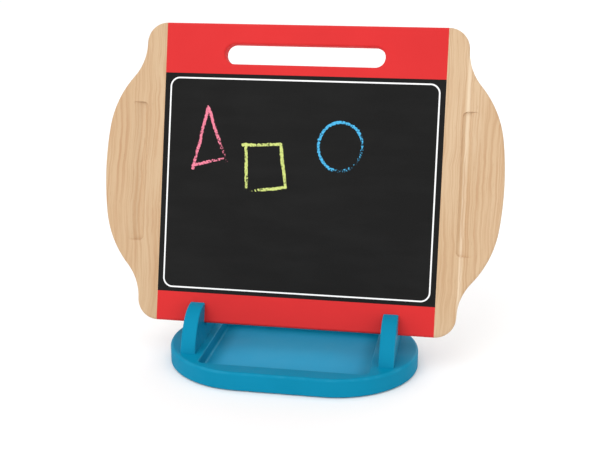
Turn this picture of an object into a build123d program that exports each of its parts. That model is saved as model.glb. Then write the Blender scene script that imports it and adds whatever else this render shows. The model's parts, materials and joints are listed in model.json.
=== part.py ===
"""Tabletop kids easel: a two-sided writing board that leans in two slotted fins on an oval tray base.

Millimetres, +Z up, +X to the right, front towards -Y. The origin is on the table, under the base's middle.
"""

from build123d import *
import os
from math import cos, radians, sin

# ---- Driving dimensions -----------------------------------------------------------------------------------
LEAN = 15.0                     # the board's lean from upright, in degrees

# Writing board, measured on its own plane: u runs across it and v runs up it from its bottom edge
BOARD_THICKNESS = 15.0
BOARD_HEIGHT = 300.0
BOARD_HALF_WIDTH = 200.0        # to the middle of a wing's outer edge
PANEL_HALF_WIDTH = 140.0        # to the joint between a rail and a wing
TOP_RAIL_HEIGHT = 50.0
BOTTOM_RAIL_HEIGHT = 30.0
EDGE_ROUNDING = 2.5             # the board's outer edges, front and rear

HANDLE_LENGTH = 160.0
HANDLE_HEIGHT = 20.0
HANDLE_V = 270.0                # middle of the handle slot
HANDLE_ROUNDING = 2.0

SHEET_THICKNESS = 2.0           # chalkboard and dry-erase sheets
TONGUE_THICKNESS = 5.0
TONGUE_LENGTH = 5.0
TONGUE_CLEARANCE = 0.2          # all round each tongue in its groove

WING_CORNER_RADIUS = 20.7       # the wing's top and bottom corners
BELLY_RADIUS = 318.0            # the wing's long arc at mid-height
BELLY_ANGLE = 7.8               # how far the outline has turned in, in degrees, at the end of the long arc
SHOULDER_ANGLE = 41.0           # and at the end of the tighter arc above it

GRIP_INNER = 157.0              # finger grip: where its inner wall drops from the face
GRIP_OUTER = 174.0              # where its ramp has come back up to the face
GRIP_LENGTH = 140.0
GRIP_WALL_ANGLE = 60.0          # how steeply the wall starts down, in degrees
GRIP_RAMP_ANGLE = 27.0          # how steeply the ramp starts back up
GRIP_END_ANGLE = 4.0            # and how far it has eased off where it meets the face
GRIP_CORNER = 5.0
GRIP_CUTTER_REACH = 8.0         # how far the cutter stands in and out of the face, more than the grip's depth

DOWEL_DIAMETER = 6.0
DOWEL_LENGTH = 24.0             # half of it in the rail and half in the wing
DOWEL_CLEARANCE = 0.05
DOWEL_END_GAP = 0.5
DOWEL_CHAMFER = 0.6
DOWEL_V = {                     # height of each dowel on the board
    "top": {"upper": 287.0, "lower": 264.0},
    "bottom": {"upper": 21.5, "lower": 9.0},
}

# Stand
PAD_STAND_OUT = 1.0             # how far the foot pads hold the base off the table
BASE_LENGTH = 250.0
BASE_DEPTH = 166.0
BASE_THICKNESS = 18.0
BASE_TOP_ROUNDING = 3.0
BASE_BOTTOM_ROUNDING = 0.8

TRAY_LENGTH = 165.0
TRAY_WIDTH = 130.0
TRAY_DEPTH = 12.5
TRAY_CORNER = 6.0
TRAY_COVE = 2.5                 # where the tray's walls meet its floor
TRAY_LIP = 1.0                  # rounding of the tray's top edge

FIN_X = 97.5                    # middle of each fin's thickness
FIN_THICKNESS = 15.0
FIN_HALF_DEPTH = 47.0
FIN_HEIGHT = 38.2
FIN_CREST = 7.0                 # half the length of its level top, before the slot is cut
FIN_FOOT_ANGLE = 13.0           # how far its outline leans in, in degrees, at the foot
FIN_BEND_ANGLE = 46.5           # and where its lower arc meets its upper one
FIN_ROUNDING = 1.3
SLOT_SIDE_CLEARANCE = 0.4       # between the slot's walls and the board's faces
SLOT_FLOOR_CLEARANCE = 0.2

BOARD_FRONT_Y = -9.7            # the board's bottom front edge
BOARD_LIFT = 18.5               # its height above the base

SCREW_Y = 30.0                  # screws sit this far in front of and behind the middle
SCREW_DIAMETER = 4.0
SCREW_HEAD_DIAMETER = 8.0
SCREW_LENGTH = 35.0
SCREW_CLEARANCE = 0.05
SCREW_SINK = 0.5                # how far a head sits inside the base's underside
SCREW_TIP_LENGTH = 5.0
SCREW_TIP_DIAMETER = 1.0
SCREW_HEAD_ANGLE = 90.0
SCREW_HOLE_SPARE = 1.0          # depth of the hole in a fin past the screw's tip
CROSS_WIDTH = 1.2               # the driver's cross recess
CROSS_LENGTH = 4.4
CROSS_DEPTH = 1.6
CROSS_TAPER = 12.0

PAD_X = 78.0
PAD_Y = 50.0
PAD_DIAMETER = 14.0
PAD_THICKNESS = 2.5
PAD_CLEARANCE = 0.1             # round each pad in its shallow seat
PAD_ROUNDING = 0.4

TINY = 0.01                     # less than any real step, for telling places apart

# ---- Places that follow from them -------------------------------------------------------------------------
BASE_TOP = PAD_STAND_OUT + BASE_THICKNESS
UP_THE_BOARD = Vector(0, sin(radians(LEAN)), cos(radians(LEAN)))
OUT_OF_THE_FRONT = Vector(0, -cos(radians(LEAN)), sin(radians(LEAN)))
BOARD_MIDDLE_V = BOARD_HEIGHT / 2
PANEL_TOP_V = BOARD_HEIGHT - TOP_RAIL_HEIGHT
PANEL_HEIGHT = PANEL_TOP_V - BOTTOM_RAIL_HEIGHT
PANEL_MIDDLE_V = BOTTOM_RAIL_HEIGHT + PANEL_HEIGHT / 2
CORE_THICKNESS = BOARD_THICKNESS - 2 * SHEET_THICKNESS

FRONT = Plane(
    origin=(0, BOARD_FRONT_Y, BASE_TOP + BOARD_LIFT), x_dir=(1, 0, 0), z_dir=OUT_OF_THE_FRONT
)                                                    # the board's front face, with u and v as x and y
REAR = FRONT.offset(-BOARD_THICKNESS)
MIDDLE = FRONT.offset(-BOARD_THICKNESS / 2)
SIDES = {"left": -1, "right": 1}

os.makedirs("parts", exist_ok=True)


def save(piece, name):
    """Labels a finished piece and writes it to its own STEP file."""
    piece.part.label = name
    export_step(piece.part, f"parts/{name}.step")


def arc_pair(along, across, start, middle, end):
    """The radii of two arcs in a row that carry an outline over a step, along one axis and across it.

    The outline's heading, in degrees from the first axis towards the second, goes from start to middle over
    the first arc and to end over the second. A radius comes out negative where its arc curves the other way.
    """
    start, middle, end = radians(start), radians(middle), radians(end)
    first_along = sin(middle) - sin(start)
    first_across = cos(start) - cos(middle)
    second_along = sin(end) - sin(middle)
    second_across = cos(middle) - cos(end)
    spread = first_along * second_across - second_along * first_across
    first = (along * second_across - second_along * across) / spread
    second = (first_along * across - first_across * along) / spread
    return first, second


def on_board(u, v, depth=0.0):
    """A point on the board, depth behind its front face."""
    return FRONT.origin + Vector(u, 0, 0) + UP_THE_BOARD * v - OUT_OF_THE_FRONT * depth


def across_board(v):
    """A plane that looks along +X from the board's middle at height v, its own y up the board."""
    return Plane(
        origin=on_board(0, v, BOARD_THICKNESS / 2), x_dir=-OUT_OF_THE_FRONT, z_dir=(1, 0, 0)
    )


def dowel_holes(side, rail):
    """Cuts the two dowel holes of one rail-and-wing joint into the part being built."""
    joint = across_board(0).offset(side * PANEL_HALF_WIDTH)
    half_hole = DOWEL_LENGTH / 2 + DOWEL_END_GAP
    with BuildSketch(joint) as holes:
        with Locations(*[(0, v) for v in DOWEL_V[rail].values()]):
            Circle(DOWEL_DIAMETER / 2 + DOWEL_CLEARANCE)
    extrude(holes.sketch, amount=half_hole, both=True, mode=Mode.SUBTRACT)


def groove(u_low, v_low, u_high, v_high):
    """Cuts a groove for the core panel's tongue over this stretch of the board plane."""
    with BuildSketch(MIDDLE) as stretch:
        with Locations(((u_low + u_high) / 2, (v_low + v_high) / 2)):
            Rectangle(u_high - u_low, v_high - v_low)
    extrude(stretch.sketch, amount=TONGUE_THICKNESS / 2 + TONGUE_CLEARANCE, both=True, mode=Mode.SUBTRACT)


# ---- Rails ------------------------------------------------------------------------------------------------
with BuildPart() as top_rail:
    with BuildSketch(FRONT):
        with Locations((0, BOARD_HEIGHT - TOP_RAIL_HEIGHT / 2)):
            Rectangle(2 * PANEL_HALF_WIDTH, TOP_RAIL_HEIGHT)
    extrude(amount=-BOARD_THICKNESS)
    top_face = top_rail.faces().sort_by(Axis((0, 0, 0), UP_THE_BOARD))[-1]
    fillet(top_face.edges().filter_by(Axis.X), EDGE_ROUNDING)
    with BuildSketch(FRONT):
        with Locations((0, HANDLE_V)):
            SlotOverall(HANDLE_LENGTH, HANDLE_HEIGHT)
    extrude(amount=-BOARD_THICKNESS, mode=Mode.SUBTRACT)
    front_rim = top_rail.faces().sort_by(Axis((0, 0, 0), OUT_OF_THE_FRONT))[-1].inner_wires()[0]
    rear_rim = top_rail.faces().sort_by(Axis((0, 0, 0), OUT_OF_THE_FRONT))[0].inner_wires()[0]
    fillet(front_rim.edges() + rear_rim.edges(), HANDLE_ROUNDING)
    for side in SIDES.values():
        dowel_holes(side, "top")
    groove(
        -PANEL_HALF_WIDTH, PANEL_TOP_V, PANEL_HALF_WIDTH, PANEL_TOP_V + TONGUE_LENGTH + TONGUE_CLEARANCE
    )
save(top_rail, "top_rail")

with BuildPart() as bottom_rail:
    with BuildSketch(FRONT):
        with Locations((0, BOTTOM_RAIL_HEIGHT / 2)):
            Rectangle(2 * PANEL_HALF_WIDTH, BOTTOM_RAIL_HEIGHT)
    extrude(amount=-BOARD_THICKNESS)
    bottom_face = bottom_rail.faces().sort_by(Axis((0, 0, 0), UP_THE_BOARD))[0]
    fillet(bottom_face.edges().filter_by(Axis.X), EDGE_ROUNDING)
    for side in SIDES.values():
        dowel_holes(side, "bottom")
    groove(
        -PANEL_HALF_WIDTH, BOTTOM_RAIL_HEIGHT - TONGUE_LENGTH - TONGUE_CLEARANCE,
        PANEL_HALF_WIDTH, BOTTOM_RAIL_HEIGHT,
    )
save(bottom_rail, "bottom_rail")

# ---- Core panel and its two writing sheets ----------------------------------------------------------------
with BuildPart() as core_panel:
    with BuildSketch(MIDDLE):
        with Locations((0, PANEL_MIDDLE_V)):
            Rectangle(2 * PANEL_HALF_WIDTH, PANEL_HEIGHT)
    extrude(amount=CORE_THICKNESS / 2, both=True)
    with BuildSketch(MIDDLE):
        with Locations((0, PANEL_MIDDLE_V)):
            Rectangle(2 * (PANEL_HALF_WIDTH + TONGUE_LENGTH), PANEL_HEIGHT + 2 * TONGUE_LENGTH)
    extrude(amount=TONGUE_THICKNESS / 2, both=True)
save(core_panel, "core_panel")

SHEET_FACES = {"chalkboard_sheet": FRONT, "dry_erase_sheet": REAR.offset(SHEET_THICKNESS)}

for sheet_name, sheet_face in SHEET_FACES.items():
    with BuildPart() as sheet:
        with BuildSketch(sheet_face):
            with Locations((0, PANEL_MIDDLE_V)):
                Rectangle(2 * PANEL_HALF_WIDTH, PANEL_HEIGHT)
        extrude(amount=-SHEET_THICKNESS)
    save(sheet, sheet_name)

# ---- Wings ------------------------------------------------------------------------------------------------
# Going up from mid-height, the outline turns in along the belly and shoulder arcs, back to upright along the
# waist arc, and in over the corner arc. The shoulder's and the waist's radii are the pair that brings the
# outline to the corner arc's start.
WAIST_HALF_WIDTH = PANEL_HALF_WIDTH + WING_CORNER_RADIUS
SHOULDER_RADIUS, WAIST_RADIUS = arc_pair(
    BOARD_HEIGHT / 2 - WING_CORNER_RADIUS - BELLY_RADIUS * sin(radians(BELLY_ANGLE)),
    BOARD_HALF_WIDTH - WAIST_HALF_WIDTH - BELLY_RADIUS * (1 - cos(radians(BELLY_ANGLE))),
    BELLY_ANGLE, SHOULDER_ANGLE, 0,
)


GRIP_COVE_RADIUS, GRIP_RAMP_RADIUS = arc_pair(
    GRIP_OUTER - GRIP_INNER, 0, -GRIP_WALL_ANGLE, GRIP_RAMP_ANGLE, GRIP_END_ANGLE
)


def grip_cutter(side, face, out_of_face):
    """The space of one finger grip: a flat-ended scoop with a coved inner wall and a ramp outwards."""
    with BuildPart() as scoop:
        with BuildSketch(face):
            with Locations((side * (GRIP_INNER + GRIP_OUTER) / 2, BOARD_MIDDLE_V)):
                RectangleRounded(GRIP_OUTER - GRIP_INNER, GRIP_LENGTH, GRIP_CORNER)
        extrude(amount=GRIP_CUTTER_REACH, both=True)
        section = Plane(
            origin=face.origin + UP_THE_BOARD * BOARD_MIDDLE_V, x_dir=(side, 0, 0), z_dir=UP_THE_BOARD
        )
        outward = 1 if section.y_dir.dot(out_of_face) > 0 else -1
        rim = outward * GRIP_CUTTER_REACH
        with BuildSketch(section):
            with BuildLine():
                wall_heading = (cos(radians(GRIP_WALL_ANGLE)), -outward * sin(radians(GRIP_WALL_ANGLE)))
                cove_turn = outward * (GRIP_WALL_ANGLE + GRIP_RAMP_ANGLE)
                cove = JernArc((GRIP_INNER, 0), wall_heading, GRIP_COVE_RADIUS, cove_turn)
                ramp_turn = outward * (GRIP_END_ANGLE - GRIP_RAMP_ANGLE)
                ramp = JernArc(cove @ 1, cove % 1, -GRIP_RAMP_RADIUS, ramp_turn)
                Polyline(ramp @ 1, (GRIP_OUTER, rim), (GRIP_INNER, rim), (GRIP_INNER, 0))
            make_face()
        extrude(amount=GRIP_LENGTH, both=True, mode=Mode.INTERSECT)
    return scoop.part


for side_name, side in SIDES.items():
    grips = [grip_cutter(side, FRONT, OUT_OF_THE_FRONT), grip_cutter(side, REAR, -OUT_OF_THE_FRONT)]
    with BuildPart() as wing:
        with BuildSketch(FRONT):
            with BuildLine():
                belly = JernArc(
                    (side * BOARD_HALF_WIDTH, BOARD_MIDDLE_V), (0, 1), BELLY_RADIUS, side * BELLY_ANGLE
                )
                shoulder = JernArc(
                    belly @ 1, belly % 1, SHOULDER_RADIUS, side * (SHOULDER_ANGLE - BELLY_ANGLE)
                )
                waist = JernArc(shoulder @ 1, shoulder % 1, -WAIST_RADIUS, -side * SHOULDER_ANGLE)
                corner = JernArc(waist @ 1, (0, 1), WING_CORNER_RADIUS, side * 90)
                Line(corner @ 1, (side * PANEL_HALF_WIDTH, BOARD_MIDDLE_V))
                mirror(about=Plane.XZ.offset(-BOARD_MIDDLE_V))
            make_face()
        extrude(amount=-BOARD_THICKNESS)
        outer_edges = wing.edges().filter_by(lambda edge: abs(edge.center().X) > PANEL_HALF_WIDTH + TINY)
        outline_edges = outer_edges.filter_by(
            lambda edge: abs((edge @ 0 - edge @ 1).dot(OUT_OF_THE_FRONT)) < TINY
        )
        fillet(outline_edges, EDGE_ROUNDING)
        add(grips, mode=Mode.SUBTRACT)
        for rail in DOWEL_V:
            dowel_holes(side, rail)
        groove_inner = side * (PANEL_HALF_WIDTH + TONGUE_LENGTH + TONGUE_CLEARANCE)
        groove(
            min(side * PANEL_HALF_WIDTH, groove_inner), BOTTOM_RAIL_HEIGHT - TONGUE_LENGTH - TONGUE_CLEARANCE,
            max(side * PANEL_HALF_WIDTH, groove_inner), PANEL_TOP_V + TONGUE_LENGTH + TONGUE_CLEARANCE,
        )
    save(wing, f"{side_name}_wing")

# ---- Dowels -----------------------------------------------------------------------------------------------
for rail, heights in DOWEL_V.items():
    for side_name, side in SIDES.items():
        for place, v in heights.items():
            with BuildPart() as dowel:
                with BuildSketch(across_board(v).offset(side * PANEL_HALF_WIDTH)):
                    Circle(DOWEL_DIAMETER / 2)
                extrude(amount=DOWEL_LENGTH / 2, both=True)
                chamfer(dowel.edges().filter_by(GeomType.CIRCLE), DOWEL_CHAMFER)
            save(dowel, f"{rail}_{side_name}_dowel_{place}")

# ---- Base -------------------------------------------------------------------------------------------------
SCREW_SPOTS = [(side * FIN_X, y) for side in SIDES.values() for y in (-SCREW_Y, SCREW_Y)]
PAD_SPOTS = [(side * PAD_X, y) for side in SIDES.values() for y in (-PAD_Y, PAD_Y)]
UNDERSIDE = Plane.XY.offset(PAD_STAND_OUT)

with BuildPart() as base_plate:
    with BuildSketch(UNDERSIDE):
        SlotOverall(BASE_LENGTH, BASE_DEPTH)
    extrude(amount=BASE_THICKNESS)
    fillet(base_plate.faces().sort_by(Axis.Z)[-1].edges(), BASE_TOP_ROUNDING)
    fillet(base_plate.faces().sort_by(Axis.Z)[0].edges(), BASE_BOTTOM_ROUNDING)
    with BuildSketch(Plane.XY.offset(BASE_TOP)):
        RectangleRounded(TRAY_LENGTH, TRAY_WIDTH, TRAY_CORNER)
    extrude(amount=-TRAY_DEPTH, mode=Mode.SUBTRACT)
    tray_floor = base_plate.faces().filter_by(Plane.XY).filter_by_position(
        Axis.Z, BASE_TOP - TRAY_DEPTH - TINY, BASE_TOP - TRAY_DEPTH + TINY
    )
    fillet(tray_floor.edges(), TRAY_COVE)
    top_face = base_plate.faces().filter_by(Plane.XY).sort_by(Axis.Z)[-1]
    fillet(top_face.inner_wires()[0].edges(), TRAY_LIP)
    with Locations(UNDERSIDE.rotated((180, 0, 0))):
        with Locations(*[(x, -y) for x, y in SCREW_SPOTS]):
            CounterSinkHole(
                SCREW_DIAMETER / 2 + SCREW_CLEARANCE,
                SCREW_HEAD_DIAMETER / 2 + SCREW_SINK + SCREW_CLEARANCE,
                counter_sink_angle=SCREW_HEAD_ANGLE,
            )
    with BuildSketch(UNDERSIDE):
        with Locations(*PAD_SPOTS):
            Circle(PAD_DIAMETER / 2 + PAD_CLEARANCE)
    extrude(amount=PAD_THICKNESS - PAD_STAND_OUT, mode=Mode.SUBTRACT)
save(base_plate, "base_plate")

# ---- Fins -------------------------------------------------------------------------------------------------
PROFILE = Plane(origin=(0, 0, BASE_TOP), x_dir=(0, 1, 0), z_dir=(1, 0, 0))   # seen from the right side
SLOT_PLANE = Plane(origin=FRONT.origin, x_dir=-OUT_OF_THE_FRONT, z_dir=(1, 0, 0))
SLOT_REACH = 60.0               # well past the top of a fin
SCREW_TIP_Z = PAD_STAND_OUT + SCREW_SINK + SCREW_LENGTH
FIN_LOWER_RADIUS, FIN_UPPER_RADIUS = arc_pair(
    FIN_HEIGHT, FIN_HALF_DEPTH - FIN_CREST, FIN_FOOT_ANGLE, FIN_BEND_ANGLE, 90
)

for side_name, side in SIDES.items():
    with BuildPart() as fin:
        with BuildSketch(PROFILE.offset(side * FIN_X)):
            with BuildLine():
                foot_heading = (sin(radians(FIN_FOOT_ANGLE)), cos(radians(FIN_FOOT_ANGLE)))
                lower = JernArc(
                    (-FIN_HALF_DEPTH, 0), foot_heading, FIN_LOWER_RADIUS, FIN_FOOT_ANGLE - FIN_BEND_ANGLE
                )
                upper = JernArc(lower @ 1, lower % 1, FIN_UPPER_RADIUS, FIN_BEND_ANGLE - 90)
                Line(upper @ 1, (0, FIN_HEIGHT))
                Line((-FIN_HALF_DEPTH, 0), (0, 0))
                mirror(about=Plane.YZ)
            make_face()
        extrude(amount=FIN_THICKNESS / 2, both=True)
        side_edges = fin.faces().filter_by(Axis.X).edges()
        fillet(side_edges.filter_by(lambda edge: edge.center().Z > BASE_TOP + TINY), FIN_ROUNDING)
        with BuildSketch(SLOT_PLANE.offset(side * FIN_X)):
            with Locations((BOARD_THICKNESS / 2, SLOT_REACH / 2 - SLOT_FLOOR_CLEARANCE)):
                Rectangle(BOARD_THICKNESS + 2 * SLOT_SIDE_CLEARANCE, SLOT_REACH)
        extrude(amount=FIN_THICKNESS, both=True, mode=Mode.SUBTRACT)
        with BuildSketch(Plane.XY.offset(BASE_TOP)):
            with Locations((side * FIN_X, -SCREW_Y), (side * FIN_X, SCREW_Y)):
                Circle(SCREW_DIAMETER / 2 + SCREW_CLEARANCE)
        extrude(amount=SCREW_TIP_Z + SCREW_HOLE_SPARE - BASE_TOP, mode=Mode.SUBTRACT)
    save(fin, f"{side_name}_fin")

# ---- Screws -----------------------------------------------------------------------------------------------
HEAD_Z = PAD_STAND_OUT + SCREW_SINK
HEAD_DEPTH = (SCREW_HEAD_DIAMETER - SCREW_DIAMETER) / 2

for side_name, side in SIDES.items():
    for place, y in (("front", -SCREW_Y), ("rear", SCREW_Y)):
        with BuildPart() as screw:
            with BuildSketch(Plane(origin=(side * FIN_X, y, HEAD_Z), x_dir=(1, 0, 0), z_dir=(0, -1, 0))):
                with BuildLine():
                    Polyline(
                        (0, 0),
                        (SCREW_HEAD_DIAMETER / 2, 0),
                        (SCREW_DIAMETER / 2, HEAD_DEPTH),
                        (SCREW_DIAMETER / 2, SCREW_LENGTH - SCREW_TIP_LENGTH),
                        (SCREW_TIP_DIAMETER / 2, SCREW_LENGTH),
                        (0, SCREW_LENGTH),
                        close=True,
                    )
                make_face()
            revolve(axis=Axis((side * FIN_X, y, 0), (0, 0, 1)))
            with BuildSketch(Plane.XY.offset(HEAD_Z)):
                with Locations((side * FIN_X, y)):
                    Rectangle(CROSS_LENGTH, CROSS_WIDTH)
                    Rectangle(CROSS_WIDTH, CROSS_LENGTH)
            extrude(amount=CROSS_DEPTH, taper=CROSS_TAPER, mode=Mode.SUBTRACT)
        save(screw, f"{side_name}_fin_{place}_screw")

# ---- Foot pads --------------------------------------------------------------------------------------------
for side_name, side in SIDES.items():
    for place, y in (("front", -PAD_Y), ("rear", PAD_Y)):
        with BuildPart() as pad:
            with BuildSketch(Plane.XY):
                with Locations((side * PAD_X, y)):
                    Circle(PAD_DIAMETER / 2)
            extrude(amount=PAD_THICKNESS)
            fillet(pad.faces().sort_by(Axis.Z)[0].edges(), PAD_ROUNDING)
        save(pad, f"{place}_{side_name}_foot_pad")
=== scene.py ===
"""The looks of a tabletop kids easel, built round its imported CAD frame. Metres, +Z up, front towards -Y."""

import json
from math import atan2, radians

import bpy
from mathutils import Matrix, Vector


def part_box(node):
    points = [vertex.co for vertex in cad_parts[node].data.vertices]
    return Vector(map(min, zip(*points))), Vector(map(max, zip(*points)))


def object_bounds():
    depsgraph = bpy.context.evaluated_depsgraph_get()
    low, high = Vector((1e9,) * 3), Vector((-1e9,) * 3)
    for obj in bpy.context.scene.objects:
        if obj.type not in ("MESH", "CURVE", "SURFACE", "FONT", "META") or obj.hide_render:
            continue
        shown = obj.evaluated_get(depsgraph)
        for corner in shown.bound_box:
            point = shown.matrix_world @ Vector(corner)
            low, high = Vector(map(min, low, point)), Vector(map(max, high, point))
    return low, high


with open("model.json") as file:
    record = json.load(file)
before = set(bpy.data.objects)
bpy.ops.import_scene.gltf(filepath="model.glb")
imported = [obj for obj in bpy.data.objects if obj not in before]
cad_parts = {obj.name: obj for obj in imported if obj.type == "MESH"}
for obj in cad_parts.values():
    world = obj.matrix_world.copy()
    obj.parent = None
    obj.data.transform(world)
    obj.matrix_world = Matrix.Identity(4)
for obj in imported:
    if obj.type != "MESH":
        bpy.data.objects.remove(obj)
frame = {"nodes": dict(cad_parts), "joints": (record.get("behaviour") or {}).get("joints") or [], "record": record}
cad_low, cad_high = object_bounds()
nodes = frame["nodes"]
MM = 0.001

# ---- The board's own axes: u across it, v up it, w out of its front face -------------------------
UP_THE_BOARD = Vector(frame["joints"][0]["axis"]).normalized()
ACROSS = Vector((1, 0, 0))
UPRIGHT = Vector((0, 0, 1))
OUT_OF_THE_FRONT = ACROSS.cross(UP_THE_BOARD)


def reach(node, direction):
    """The least and the most that a CAD node reaches along a direction."""
    steps = [direction.dot(vertex.co) for vertex in nodes[node].data.vertices]
    return min(steps), max(steps)


BOARD_BOTTOM = reach("bottom_rail", UP_THE_BOARD)[0]
BOARD_FRONT = reach("chalkboard_sheet", OUT_OF_THE_FRONT)[1]
BOARD_ORIGIN = UP_THE_BOARD * BOARD_BOTTOM + OUT_OF_THE_FRONT * BOARD_FRONT
BOARD_TURN = Matrix((ACROSS, UP_THE_BOARD, OUT_OF_THE_FRONT)).transposed().to_euler()
SHEET_LOW, SHEET_HIGH = (edge - BOARD_BOTTOM for edge in reach("chalkboard_sheet", UP_THE_BOARD))
SHEET_HALF_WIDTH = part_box("chalkboard_sheet")[1].x
BOARD_MIDDLE = (SHEET_LOW + SHEET_HIGH) / 2
TRAY_SPACE = next(space for space in frame["record"]["physics"]["openings"] if space["name"] == "chalk_tray")
TRAY_CORNER = Vector(TRAY_SPACE["box_m"][1])
TRAY_FLOOR = TRAY_SPACE["box_m"][0][2]


# ---- Material tools ------------------------------------------------------------------------------
def srgb(red, green, blue):
    """A colour given as 0 to 255 screen values, as the linear RGBA that shaders take."""
    def linear(value):
        value /= 255
        return value / 12.92 if value <= 0.04045 else ((value + 0.055) / 1.055) ** 2.4
    return linear(red), linear(green), linear(blue), 1.0


class Look:
    """One procedural material, built node by node in the row frame or in the board's own axes."""

    def __init__(self, name, on_board=False, offset=(0, 0, 0), **shader):
        self.material = bpy.data.materials.new(name)
        self.material.use_nodes = True
        self.tree = self.material.node_tree
        self.shader = self.tree.nodes["Principled BSDF"]
        for socket, value in shader.items():
            self.shader.inputs[socket.replace("_", " ")].default_value = value
        self.coordinates = self.node("TexCoord")
        self.flat_place = self.coordinates.outputs["Object"]
        if on_board:
            self.flat_place = self.node(
                "Mapping", {"Vector": self.flat_place, "Location": BOARD_ORIGIN, "Rotation": BOARD_TURN},
                vector_type="TEXTURE",
            ).outputs[0]
        self.place = self.vector("ADD", self.flat_place, offset)

    def node(self, kind, inputs=None, **settings):
        """Adds a shader node. Each input is a plain value or another node's output."""
        made = self.tree.nodes.new("ShaderNode" + kind)
        for name, value in settings.items():
            setattr(made, name, value)
        for name, value in (inputs or {}).items():
            self.feed(made.inputs[name], value)
        return made

    def feed(self, socket, value):
        """Links a node's output to a socket, or sets the socket to a plain value."""
        if isinstance(value, bpy.types.NodeSocket):
            self.tree.links.new(value, socket)
        else:
            socket.default_value = value

    def math(self, operation, *values):
        """One step of arithmetic on numbers."""
        return self.node("Math", dict(enumerate(values)), operation=operation).outputs[0]

    def vector(self, operation, *values):
        """One step of arithmetic on vectors."""
        return self.node("VectorMath", dict(enumerate(values)), operation=operation).outputs[0]

    def axes(self, place):
        """The three numbers of a place."""
        return self.node("SeparateXYZ", {"Vector": place}).outputs[:3]

    def noise(self, scale, detail=3.0, roughness=0.5, stretch=(1, 1, 1), distortion=0.0):
        """Noise from 0 to 1. scale is in lumps per metre, and stretch multiplies it along each axis."""
        place = self.vector("MULTIPLY", self.place, stretch)
        return self.node(
            "TexNoise",
            {
                "Vector": place, "Scale": scale, "Detail": detail,
                "Roughness": roughness, "Distortion": distortion,
            },
        ).outputs[0]

    def ramp(self, value, low, high, to_low=0.0, to_high=1.0):
        """Carries a number smoothly from one range to another, and holds it there past both ends."""
        return self.node(
            "MapRange",
            {"Value": value, "From Min": low, "From Max": high, "To Min": to_low, "To Max": to_high},
            interpolation_type="SMOOTHSTEP",
        ).outputs[0]

    def band(self, value, low, high, soft):
        """1 where a number lies between low and high, and 0 outside, with soft edges."""
        return self.math(
            "MULTIPLY", self.ramp(value, low - soft, low + soft), self.ramp(value, high + soft, high - soft)
        )

    def mix(self, factor, first, second):
        """A colour between two others."""
        made = self.node("Mix", data_type="RGBA")
        for socket, value in zip((made.inputs[0], made.inputs[6], made.inputs[7]), (factor, first, second)):
            self.feed(socket, value)
        return made.outputs[2]

    def facing(self, direction):
        """How squarely the surface faces a direction in the row frame: 1 facing it, 0 edge on, -1 away."""
        product = self.node(
            "VectorMath", {0: self.coordinates.outputs["Normal"], 1: direction}, operation="DOT_PRODUCT"
        )
        return product.outputs["Value"]

    def on_edges(self, direction):
        """1 on the roundings between faces square to a direction and faces along it, and 0 on both."""
        turned = self.math("ABSOLUTE", self.facing(direction))
        return self.math("MULTIPLY", self.ramp(turned, 0.12, 0.45), self.ramp(turned, 0.985, 0.85))

    def bump(self, height, distance, strength=1.0):
        """Feeds the shader's normal from a height of 0 to 1, which stands for that distance in metres."""
        made = self.node("Bump", {"Height": height, "Distance": distance, "Strength": strength})
        self.feed(self.shader.inputs["Normal"], made.outputs[0])

    def colour(self, value):
        self.feed(self.shader.inputs["Base Color"], value)

    def roughness(self, value):
        self.feed(self.shader.inputs["Roughness"], value)


# ---- Materials -----------------------------------------------------------------------------------
# The tray floor's painted sheen: how much paler its colour is made, standing in for reflected light, and how far
# from the walls it fades out
FLOOR_PAINTED_SHEEN = 0.36
WALL_FADE = 16 * MM


def painted(name, colour, thin, face_axis, on_board, painted_sheen_colour=None):
    """Satin paint sprayed over smooth wood: faint clouding, orange peel, and cut edges dried matt."""
    look = Look(name, on_board, **{"Specular_IOR_Level": 0.1})
    cloud = look.noise(11, detail=2)
    shade = tuple(0.95 * channel for channel in colour[:3]) + (1.0,)
    paint = look.mix(look.ramp(cloud, 0.3, 0.7), colour, shade)
    if painted_sheen_colour:  # painted sheen: the tray floor is painted paler, a reflection of light painted into its colour, but not close to its walls
        x, y, z = look.axes(look.flat_place)
        pale = look.ramp(z, TRAY_FLOOR + 2 * MM, TRAY_FLOOR, 0.0, FLOOR_PAINTED_SHEEN)
        for value, wall in ((x, TRAY_CORNER.x), (y, TRAY_CORNER.y)):
            clear_of_wall = look.ramp(look.math("ABSOLUTE", value), wall, wall - WALL_FADE, 0.2, 1.0)
            pale = look.math("MULTIPLY", pale, clear_of_wall)
        pale = look.math("MULTIPLY", pale, look.ramp(look.facing(UPRIGHT), 0.3, 0.8))
        paint = look.mix(pale, paint, painted_sheen_colour)
    speckle = look.ramp(look.noise(1400, detail=1), 0.6, 0.75, 0.0, 0.04)
    paint = look.mix(speckle, paint, thin)
    rubbed = look.math("MULTIPLY", look.on_edges(face_axis), look.ramp(look.noise(75, detail=4), 0.42, 0.7))
    look.colour(look.mix(look.math("MULTIPLY", rubbed, 0.1), paint, thin))
    satin = look.ramp(look.noise(45, detail=4), 0.25, 0.75, 0.4, 0.5)
    cut = look.ramp(look.math("ABSOLUTE", look.facing(face_axis)), 0.8, 0.3, 0.0, 0.22)
    look.roughness(look.math("ADD", satin, cut))
    look.bump(look.noise(420, detail=2, roughness=0.4), 0.02 * MM)
    return look.material


# Clear-lacquered light wood
EARLY_WOOD = {  # the darker and the paler ground, of the left wing and of the right wing
    -1: (srgb(198, 165, 128), srgb(206, 177, 142)),
    1: (srgb(203, 171, 134), srgb(212, 184, 150)),
}
LATE_WOOD = srgb(172, 120, 80)
SEAM = 162 * MM  # where the right wing is glued up from two strips
LEFT_RING_SPACING, LEFT_RING_STRENGTH = 6.8 * MM, 0.34
QUIET_RING_SPACING, QUIET_RING_STRENGTH = 7.0 * MM, 0.24
LIVELY_RING_SPACING, LIVELY_RING_STRENGTH = 3.9 * MM, 0.38


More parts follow.
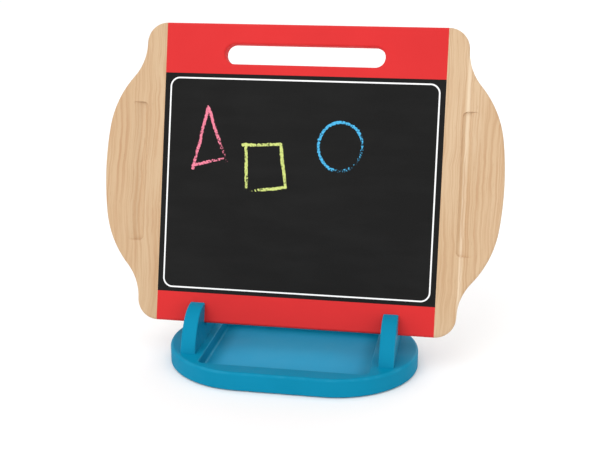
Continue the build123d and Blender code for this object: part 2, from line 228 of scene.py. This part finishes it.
def ring_lines(look, across, spacing):
    """Thin dark late-wood lines, each fading in slowly and ending sharply, some strong and some faint."""
    phase = look.math("FRACT", look.math("DIVIDE", across, spacing))
    line = look.math("MULTIPLY", look.ramp(phase, 0.62, 0.93), look.ramp(phase, 1.0, 0.95))
    strength = look.ramp(look.noise(75, detail=4, stretch=(1, 0.22, 1)), 0.38, 0.6, 0.06, 1.0)
    return look.math("MULTIPLY", line, strength)


def streaks(look, across, along, width, length, detail=3):
    """Noise drawn out along the grain, in streaks about this wide and this long."""
    steps = {0: look.math("DIVIDE", across, width), 1: look.math("DIVIDE", along, length)}
    place = look.node("CombineXYZ", steps).outputs[0]
    return look.node("TexNoise", {"Vector": place, "Scale": 1.0, "Detail": detail}).outputs[0]


def light_wood(name, side, offset):
    """Clear-lacquered light wood, its grain running up the board. Each wing is of different stock."""
    look = Look(name, True, offset, **{"Specular_IOR_Level": 0.25})
    u, v, w = look.axes(look.flat_place)
    out = look.math("MULTIPLY", u, side)
    sway = look.noise(12, detail=2, stretch=(0.5, 1, 0.5))
    ripple = look.noise(38, detail=3, stretch=(0.6, 0.7, 0.6))
    drift = look.math("MULTIPLY", look.math("SUBTRACT", sway, 0.5), 16 * MM)
    drift = look.math("ADD", drift, look.math("MULTIPLY", look.math("SUBTRACT", ripple, 0.5), 6 * MM))
    grain_place = look.math("ADD", look.math("ADD", out, look.math("MULTIPLY", w, 0.4)), drift)
    years = streaks(look, grain_place, v, 20 * MM, 1200 * MM, detail=2)
    across = look.math("ADD", grain_place, look.math("MULTIPLY", years, 20 * MM if side > 0 else 30 * MM))
    tone = look.noise(30, detail=3, stretch=(1, 0.14, 1))
    wood = look.mix(look.ramp(tone, 0.3, 0.7), *EARLY_WOOD[side])
    bands = streaks(look, grain_place, v, 5.2 * MM, 260 * MM)
    wood = look.mix(look.ramp(bands, 0.5, 0.72, 0.0, 0.2), wood, srgb(190, 150, 112))
    wood = look.mix(look.ramp(bands, 0.46, 0.28, 0.0, 0.2), wood, srgb(222, 196, 165))
    if side > 0:  # a quiet strip inside and a lively one outside
        outer = look.ramp(out, SEAM - 1 * MM, SEAM + 1 * MM)
        quiet = look.math("MULTIPLY", ring_lines(look, across, QUIET_RING_SPACING), QUIET_RING_STRENGTH)
        lively = look.math("MULTIPLY", ring_lines(look, across, LIVELY_RING_SPACING), LIVELY_RING_STRENGTH)
        lines = look.node("Mix", {0: outer, 2: quiet, 3: lively}).outputs[0]
        glue_line = look.band(out, SEAM - 1.7 * MM, SEAM + 1.7 * MM, 1.2 * MM)
        seam = look.math("MULTIPLY", glue_line, look.ramp(bands, 0.3, 0.6, 0.35, 0.9))
        wood = look.mix(seam, wood, srgb(230, 208, 178))
        lines = look.math("MULTIPLY", lines, look.ramp(seam, 0, 1, 1.0, 0.3))
    else:
        lines = look.math("MULTIPLY", ring_lines(look, across, LEFT_RING_SPACING), LEFT_RING_STRENGTH)
    wood = look.mix(lines, wood, LATE_WOOD)
    threads = streaks(look, grain_place, v, 1.9 * MM, 130 * MM)
    wood = look.mix(look.ramp(threads, 0.46, 0.64, 0.0, 0.46), wood, srgb(182, 139, 100))
    fibres = look.noise(1, detail=3, stretch=(1700, 34, 1700))
    wood = look.mix(look.ramp(fibres, 0.3, 0.72, 0.0, 0.14), wood, srgb(184, 144, 106))
    flecks = look.ramp(look.noise(1, detail=1, stretch=(900, 130, 900)), 0.66, 0.76, 0.0, 0.2)
    wood = look.mix(flecks, wood, srgb(160, 118, 82))
    worn = look.math("MULTIPLY", look.on_edges(OUT_OF_THE_FRONT), look.ramp(look.noise(50), 0.4, 0.65))
    look.colour(look.mix(look.math("MULTIPLY", worn, 0.12), wood, srgb(180, 138, 98)))
    satin = look.ramp(fibres, 0.3, 0.7, 0.42, 0.52)
    look.roughness(look.math("ADD", satin, look.math("MULTIPLY", lines, -0.06)))
    relief = look.math("ADD", look.math("MULTIPLY", fibres, 0.5), look.math("MULTIPLY", flecks, -1.0))
    look.bump(look.math("ADD", relief, look.math("MULTIPLY", lines, -0.5)), 0.03 * MM)
    return look.material


# Chalk drawings on the board: each stroke runs from one point to another, in millimetres across and up
CHALK_WIDTH = 3.3 * MM
TRIANGLE = [((-95, 216), (-108, 155), 0.0), ((-95, 217), (-74, 163), 0.75), ((-109, 158), (-78, 166), 0.35)]
SQUARE = [((-58, 180), (-20, 182), 0.1), ((-55, 181), (-53, 137), 0.3), ((-20, 182), (-13, 141), 0.0),
          ((-13, 140), (-56, 134), 0.8)]
CIRCLE_MIDDLE = Vector((40, 182, 0)) * MM
CIRCLE_RADIUS = 23.5 * MM
BORDER_SIDE_INSET = 6.0 * MM
BORDER_END_INSET = 4.8 * MM
BORDER_WIDTH = 1.4 * MM
BORDER_SOFTNESS = 0.15 * MM
BORDER_CORNER = 9.0 * MM


def border(look, u, v):
    """The printed line round the chalkboard, a rectangle with round corners."""
    half_across = SHEET_HALF_WIDTH - BORDER_SIDE_INSET - BORDER_CORNER
    half_up = BOARD_MIDDLE - SHEET_LOW - BORDER_END_INSET - BORDER_CORNER
    beyond = [
        look.math("SUBTRACT", look.math("ABSOLUTE", u), half_across),
        look.math("SUBTRACT", look.math("ABSOLUTE", look.math("SUBTRACT", v, BOARD_MIDDLE)), half_up),
    ]
    outside = [look.math("MAXIMUM", value, 0.0) for value in beyond]
    corner = look.math("SQRT", look.math("ADD", *[look.math("POWER", value, 2.0) for value in outside]))
    inside = look.math("MINIMUM", look.math("MAXIMUM", *beyond), 0.0)
    distance = look.math("SUBTRACT", look.math("ADD", corner, inside), BORDER_CORNER)
    half = BORDER_WIDTH / 2
    return look.ramp(look.math("ABSOLUTE", distance), half + BORDER_SOFTNESS, half - BORDER_SOFTNESS)


def grained(look, distance, pressure, grain):
    """The mark that chalk leaves: solid where it is pressed, broken by the board's tooth where it isn't."""
    body = look.ramp(distance, CHALK_WIDTH * 0.72, CHALK_WIDTH * 0.22)
    mark = look.ramp(look.math("ADD", look.math("MULTIPLY", body, pressure), grain), 0.88, 1.08)
    return look.math("MULTIPLY", mark, look.ramp(grain, 0.1, 0.6, 0.84, 1.0))


def stroke(look, start, end, fading, grain):
    """One straight chalk stroke, its pressure dropping by the given share towards its end."""
    start, end = Vector((*start, 0)) * MM, Vector((*end, 0)) * MM
    along = end - start
    turn = (0, 0, atan2(along.y, along.x))
    local = look.node(
        "Mapping", {"Vector": look.flat_place, "Location": start, "Rotation": turn}, vector_type="TEXTURE"
    ).outputs[0]
    x, y, _ = look.axes(local)
    wobble = look.math("MULTIPLY", look.math("SUBTRACT", look.noise(32, detail=1), 0.5), 3.5 * MM)
    y = look.math("ADD", y, wobble)
    past = look.math("SUBTRACT", x, look.math("MINIMUM", look.math("MAXIMUM", x, 0.0), along.length))
    distance = look.math("SQRT", look.math("ADD", look.math("POWER", past, 2.0), look.math("POWER", y, 2.0)))
    pressure = look.ramp(x, along.length * 0.35, along.length, 1.0, 1.0 - fading)
    return grained(look, distance, pressure, grain)


def ring(look, grain):
    """A chalk circle, pressed hard on its left and fading round its right."""
    away = look.vector("SUBTRACT", look.flat_place, CIRCLE_MIDDLE)
    x, y, _ = look.axes(away)
    stretch = look.math("MULTIPLY", x, 1.08)
    radius = look.math("SQRT", look.math("ADD", look.math("POWER", stretch, 2.0), look.math("POWER", y, 2.0)))
    wobble = look.math("MULTIPLY", look.math("SUBTRACT", look.noise(24, detail=1), 0.5), 4 * MM)
    distance = look.math("ABSOLUTE", look.math("ADD", look.math("SUBTRACT", radius, CIRCLE_RADIUS), wobble))
    pressure = look.ramp(look.math("SUBTRACT", x, y), -4 * MM, 30 * MM, 1.0, 0.45)
    return grained(look, distance, pressure, grain)


def chalkboard():
    """Matt chalkboard paint with wiped-off haze, a printed border and a child's chalk shapes."""
    look = Look("chalkboard", True, **{"Specular_IOR_Level": 0.08})
    u, v, _ = look.axes(look.flat_place)
    haze = look.noise(9, detail=5, roughness=0.55, distortion=0.8)
    wiped = look.noise(1, detail=4, stretch=(14, 60, 14))
    dust = look.ramp(look.math("MULTIPLY", look.math("ADD", haze, wiped), 0.5), 0.42, 0.62, 0.0, 1.0)
    paint = look.mix(dust, srgb(24, 24, 24), srgb(31, 31, 31))
    tooth = look.noise(1100, detail=2)
    paint = look.mix(look.ramp(tooth, 0.45, 0.75, 0.0, 0.5), paint, srgb(34, 34, 33))
    grain = look.ramp(look.noise(560, detail=3, roughness=0.7), 0.3, 0.7, 0.0, 0.9)
    grain = look.math("ADD", grain, look.ramp(look.noise(70, detail=3), 0.35, 0.65, -0.24, -0.03))
    for strokes, colour in ((TRIANGLE, srgb(238, 130, 154)), (SQUARE, srgb(208, 220, 128))):
        for start, end, fading in strokes:
            paint = look.mix(stroke(look, start, end, fading, grain), paint, colour)
    paint = look.mix(ring(look, grain), paint, srgb(78, 182, 232))
    look.colour(look.mix(border(look, u, v), paint, srgb(250, 250, 250)))
    look.roughness(look.ramp(dust, 0, 1, 0.62, 0.78))
    look.bump(tooth, 0.02 * MM)
    return look.material


def dry_erase():
    """Glossy white melamine with the faint haze that erased marker leaves."""
    look = Look("dry_erase", True, **{"Specular_IOR_Level": 0.5})
    ghost = look.ramp(look.noise(1, detail=4, stretch=(16, 42, 16), distortion=0.6), 0.5, 0.75, 0.0, 0.3)
    white = look.mix(ghost, srgb(242, 243, 243), srgb(226, 230, 236))
    fine = look.ramp(look.noise(700, detail=1), 0.6, 0.8, 0.0, 0.12)
    look.colour(look.mix(fine, white, srgb(206, 208, 212)))
    look.roughness(look.ramp(look.noise(30, detail=4), 0.3, 0.7, 0.1, 0.2))
    look.bump(look.noise(160, detail=1), 0.01 * MM)
    return look.material


def fibreboard():
    """Raw fibreboard: fine pressed fibres, lighter and darker."""
    look = Look("fibreboard", True, **{"Specular_IOR_Level": 0.25})
    fibres = look.noise(1, detail=5, roughness=0.7, stretch=(900, 900, 2600))
    clumps = look.noise(160, detail=3)
    board = look.mix(look.ramp(fibres, 0.35, 0.65), srgb(128, 98, 70), srgb(172, 140, 104))
    look.colour(look.mix(look.ramp(clumps, 0.4, 0.7, 0.0, 0.3), board, srgb(112, 84, 60)))
    look.roughness(look.ramp(fibres, 0.3, 0.7, 0.8, 0.95))
    look.bump(fibres, 0.08 * MM)
    return look.material


def dowel_wood():
    """Turned dowels: straight grain along X, with a few open pores."""
    look = Look("dowel_wood", False, **{"Specular_IOR_Level": 0.3})
    grain = look.noise(1, detail=4, stretch=(30, 1100, 1100))
    pores = look.ramp(look.noise(1, detail=1, stretch=(220, 1800, 1800)), 0.64, 0.74, 0.0, 0.5)
    wood = look.mix(look.ramp(grain, 0.3, 0.7), srgb(214, 182, 138), srgb(234, 208, 168))
    look.colour(look.mix(pores, wood, srgb(170, 128, 88)))
    look.roughness(look.ramp(grain, 0.3, 0.7, 0.6, 0.75))
    look.bump(look.math("SUBTRACT", grain, pores), 0.05 * MM)
    return look.material


def zinc():
    """Zinc-plated steel: bright, faintly clouded, scuffed where it was tightened."""
    look = Look("zinc", False, Metallic=1.0)
    cloud = look.noise(420, detail=4)
    metal = look.mix(look.ramp(cloud, 0.3, 0.7), srgb(176, 178, 178), srgb(214, 213, 206))
    scuffs = look.ramp(look.noise(1, detail=2, stretch=(5200, 900, 900)), 0.58, 0.72, 0.0, 0.4)
    look.colour(look.mix(scuffs, metal, srgb(150, 150, 148)))
    look.roughness(look.ramp(look.noise(900, detail=3), 0.3, 0.7, 0.22, 0.42))
    look.bump(look.math("SUBTRACT", cloud, scuffs), 0.01 * MM)
    return look.material


def foot_rubber():
    """Soft black rubber with a matt moulded skin, dusty where it has stood on tables."""
    look = Look("foot_rubber", False, **{"Specular_IOR_Level": 0.35})
    skin = look.noise(1600, detail=3)
    underside = look.ramp(look.facing(-UPRIGHT), 0.5, 1.0)
    dusty = look.math("MULTIPLY", underside, look.ramp(look.noise(260), 0.4, 0.7))
    rubber = look.mix(look.ramp(skin, 0.3, 0.7), srgb(30, 30, 31), srgb(46, 46, 47))
    look.colour(look.mix(look.math("MULTIPLY", dusty, 0.35), rubber, srgb(112, 108, 102)))
    look.roughness(look.ramp(skin, 0.3, 0.7, 0.75, 0.9))
    look.bump(skin, 0.05 * MM)
    return look.material


def wear(node, material):
    """Gives a CAD node its material."""
    mesh = nodes[node].data
    mesh.materials.clear()
    mesh.materials.append(material)


RED = srgb(214, 47, 48)
THIN_RED = srgb(238, 104, 96)
BLUE = srgb(0, 134, 170)
THIN_BLUE = srgb(84, 182, 214)
# The pale blue painted onto the tray floor as a painted sheen, standing in for reflected light
PAINTED_SHEEN_BLUE = srgb(64, 181, 231)
red = painted("red_paint", RED, THIN_RED, OUT_OF_THE_FRONT, on_board=True)
base_blue = painted("blue_base_paint", BLUE, THIN_BLUE, UPRIGHT, on_board=False, painted_sheen_colour=PAINTED_SHEEN_BLUE)
fin_blue = painted("blue_fin_paint", BLUE, THIN_BLUE, ACROSS, on_board=False)
wear("top_rail", red)
wear("bottom_rail", red)
wear("base_plate", base_blue)
wear("left_fin", fin_blue)
wear("right_fin", fin_blue)
wear("left_wing", light_wood("left_wing_wood", -1, (0.0, 0.0, 0.0)))
wear("right_wing", light_wood("right_wing_wood", 1, (0.31, 0.07, 0.0)))
wear("chalkboard_sheet", chalkboard())
wear("dry_erase_sheet", dry_erase())
wear("core_panel", fibreboard())
hidden_looks = {"dowel": dowel_wood(), "screw": zinc(), "foot_pad": foot_rubber()}
for name in nodes:
    for kind, material in hidden_looks.items():
        if kind in name:
            wear(name, material)


# ---- Stage ---------------------------------------------------------------------------------------
def floor():
    """A plain pale floor, well past the view."""
    half = 60.0
    corners = [(-half, -half, 0), (half, -half, 0), (half, half, 0), (-half, half, 0)]
    mesh = bpy.data.meshes.new("floor")
    mesh.from_pydata(corners, [], [(0, 1, 2, 3)])
    made = bpy.data.objects.new("floor", mesh)
    bpy.context.scene.collection.objects.link(made)
    look = Look("floor", Roughness=0.8)
    look.colour(look.mix(look.noise(3), (0.97, 0.97, 0.97, 1), (0.95, 0.95, 0.95, 1)))
    mesh.materials.append(look.material)


def lamp(name, place, target, size, watts):
    """A soft square white lamp that faces a point."""
    light = bpy.data.lights.new(name, "AREA")
    light.size = size
    light.energy = watts
    made = bpy.data.objects.new(name, light)
    made.location = place
    made.rotation_euler = (Vector(target) - Vector(place)).to_track_quat("-Z", "Y").to_euler()
    bpy.context.scene.collection.objects.link(made)


HORIZON_LIGHT = 0.66
OVERHEAD_LIGHT = 1.21


def studio():
    """Even white light all round, brightest overhead and a little brighter in front than behind."""
    world = bpy.data.worlds.new("studio")
    world.use_nodes = True
    shaders = world.node_tree.nodes
    link = world.node_tree.links.new
    height = shaders.new("ShaderNodeVectorMath")
    height.operation = "DOT_PRODUCT"
    height.inputs[1].default_value = (0, -0.25, 1)
    link(shaders.new("ShaderNodeTexCoord").outputs["Generated"], height.inputs[0])
    strength = shaders.new("ShaderNodeMapRange")
    link(height.outputs["Value"], strength.inputs["Value"])
    strength.inputs["To Min"].default_value = HORIZON_LIGHT
    strength.inputs["To Max"].default_value = OVERHEAD_LIGHT
    link(strength.outputs[0], shaders["Background"].inputs["Strength"])
    shaders["Background"].inputs["Color"].default_value = (1, 1, 1, 1)
    bpy.context.scene.world = world


floor()
studio()
bpy.context.scene.view_settings.view_transform = "Standard"

MIDDLE = (cad_low + cad_high) / 2
lamp("key", (-1.7, -3.9, 3.7), MIDDLE, 4.0, 80)
lamp("fill", (1.8, 3.6, 1.5), MIDDLE, 3.0, 28)

# ---- Camera: a little to the right and looking down ----------------------------------------------
CAMERA_FROM_BOARD = Vector((175.6, -955.4, 398.2)) * MM  # from the middle of the board's bottom front edge
LOOKING_DOWN = radians(17.42)
TURNED_LEFT = radians(9.97)
camera = bpy.data.objects.new("camera", bpy.data.cameras.new("camera"))
camera.location = BOARD_ORIGIN + CAMERA_FROM_BOARD
camera.rotation_euler = (radians(90) - LOOKING_DOWN, 0, TURNED_LEFT)
camera.data.lens = 63.1
camera.data.sensor_width = 36
camera.data.shift_x = 0.0007
camera.data.shift_y = 0.0232
bpy.context.scene.collection.objects.link(camera)
bpy.context.scene.camera = camera
